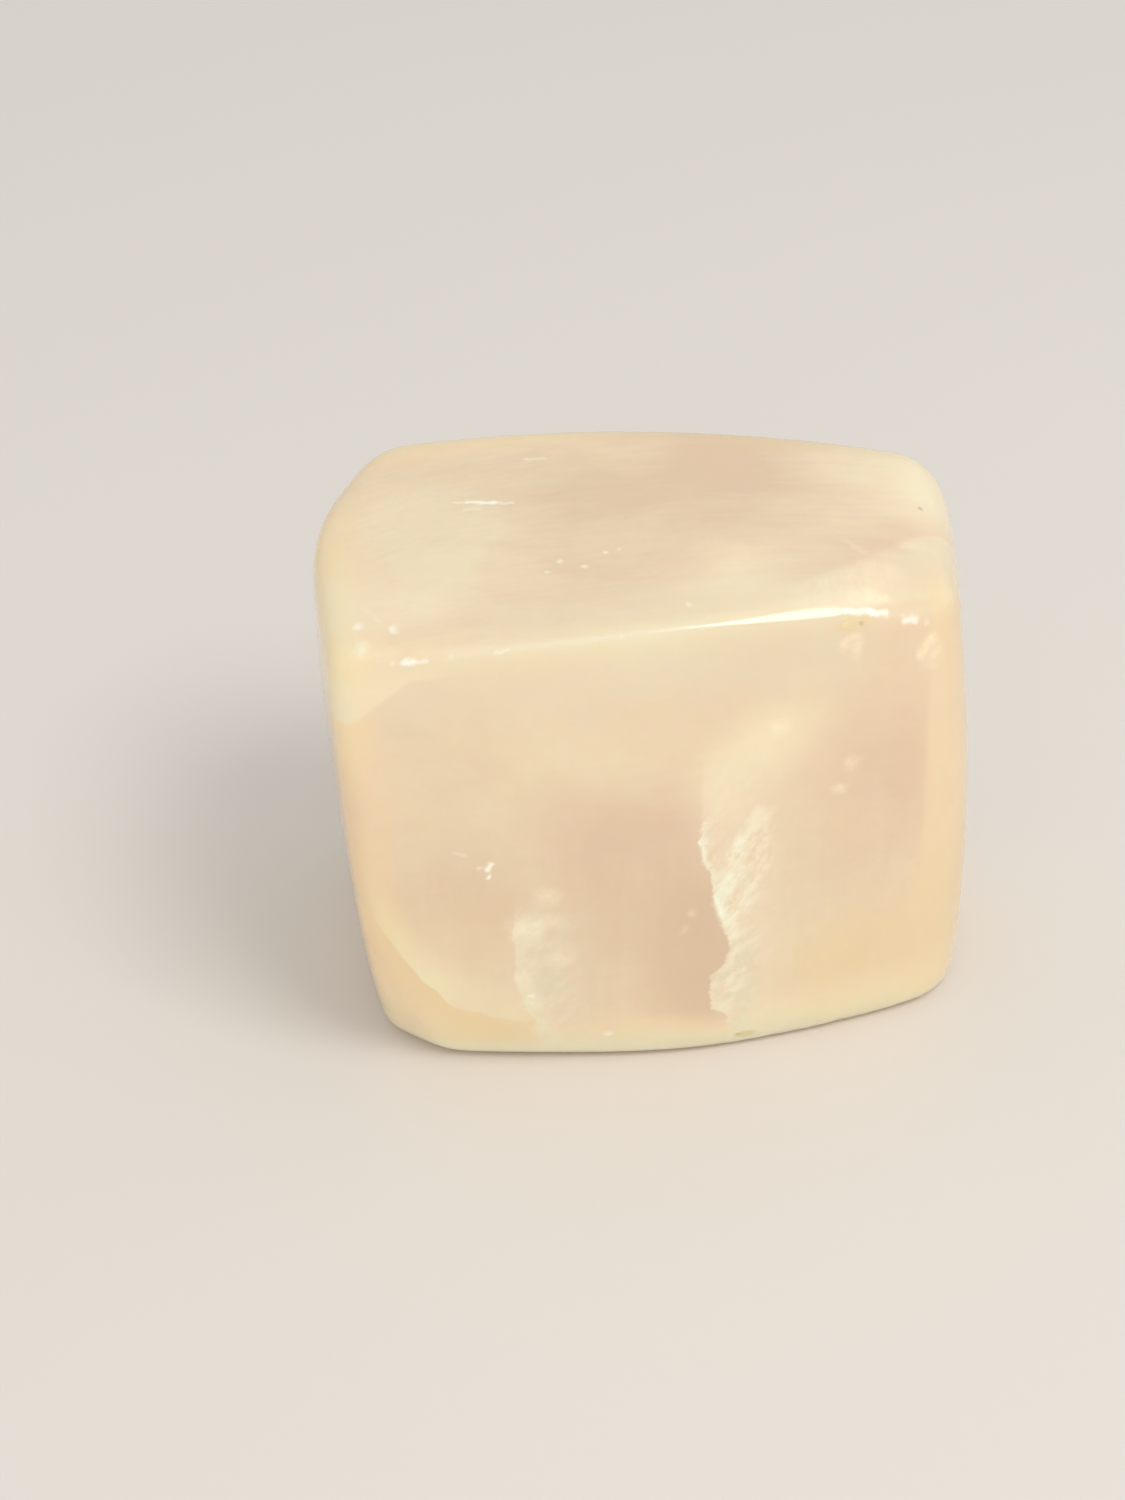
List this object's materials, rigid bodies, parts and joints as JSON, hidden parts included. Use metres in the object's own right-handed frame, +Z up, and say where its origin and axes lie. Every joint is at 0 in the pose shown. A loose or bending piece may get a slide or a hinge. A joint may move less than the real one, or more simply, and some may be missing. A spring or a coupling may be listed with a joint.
{
  "type": "polished calcite stone",
  "caption": "Polished freeform block of pale pink mangano calcite that stands on a ground flat base, with gently domed faces and rounded edges.",
  "frame": {"origin": "middle of the stone's footprint box, at the level of its flat base", "axes": "+Z up from the flat base; +X along the wide front face, the longest side; +Y through the stone from its front face to its back, the shortest side, so the front looks towards -Y"},
  "size_m": [0.0502, 0.0324, 0.0425],
  "materials": {
    "polished_calcite": "polished, translucent"
  },
  "bodies": {
    "root": {"calcite_stone": "polished_calcite"}
  },
  "joints": []
}
